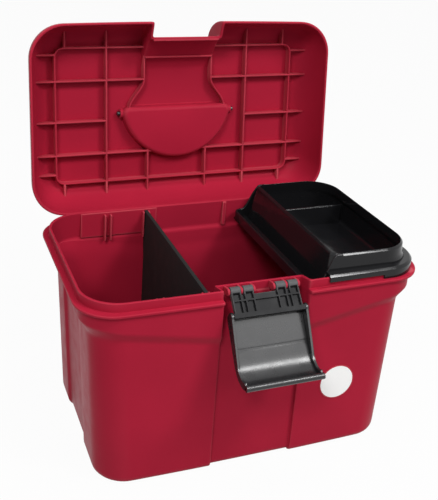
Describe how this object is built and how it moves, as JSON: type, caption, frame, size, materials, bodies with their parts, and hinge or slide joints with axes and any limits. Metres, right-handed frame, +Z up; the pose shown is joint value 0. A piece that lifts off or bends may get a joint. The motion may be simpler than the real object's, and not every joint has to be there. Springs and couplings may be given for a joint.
{
  "type": "horse grooming box",
  "caption": "Moulded carry box with a hinged domed lid, a front latch of link and lever, a folding carry handle in the lid, a lift-out tray and a removable divider.",
  "frame": {"origin": "centre of the tub's flat base, on its underside", "axes": "+X to the right along the long side, +Y from the latch to the hinges, +Z up; stored with the lid open as in the picture"},
  "size_m": [0.4, 0.3965, 0.4469],
  "materials": {
    "red_plastic": "fine-grained moulded polypropylene",
    "black_plastic": "satin moulded polypropylene",
    "tray_plastic": "glossy moulded polystyrene",
    "steel": "drawn wire",
    "label": "blank vinyl"
  },
  "bodies": {
    "base": {"tub": "red_plastic", "hinge_pin_left": "steel", "hinge_pin_right": "steel", "sticker": "label"},
    "lid": {"lid": "red_plastic"},
    "handle": {"handle": "black_plastic"},
    "link": {"latch_link": "black_plastic"},
    "lever": {"latch_lever": "black_plastic"},
    "tray": {"tray": "tray_plastic"},
    "divider": {"divider": "black_plastic"}
  },
  "joints": [
    {"name": "lid_hinge", "type": "hinge", "parent": "base", "child": "lid", "pos_m": [0, 0.128, 0.2005], "axis": [-1, 0, 0], "range_deg": [-96, 0]},
    {"name": "handle_fold", "type": "hinge", "parent": "lid", "child": "handle", "pos_m": [0, 0.20271, 0.32006], "axis": [1, 0, 0], "range_deg": [0, 90]},
    {"name": "link_hinge", "type": "hinge", "parent": "base", "child": "link", "pos_m": [0, -0.1034, 0.217], "axis": [-1, 0, 0], "range_deg": [0, 114.4]},
    {"name": "lever_hinge", "type": "hinge", "parent": "link", "child": "lever", "pos_m": [0, -0.12202, 0.19745], "axis": [-1, 0, 0], "range_deg": [0, 84]},
    {"name": "tray_lift", "type": "slide", "parent": "base", "child": "tray", "axis": [0, 0, 1], "range_m": [0, 0.14]},
    {"name": "divider_lift", "type": "slide", "parent": "base", "child": "divider", "axis": [0, 0, 1], "range_m": [0, 0.33]}
  ]
}
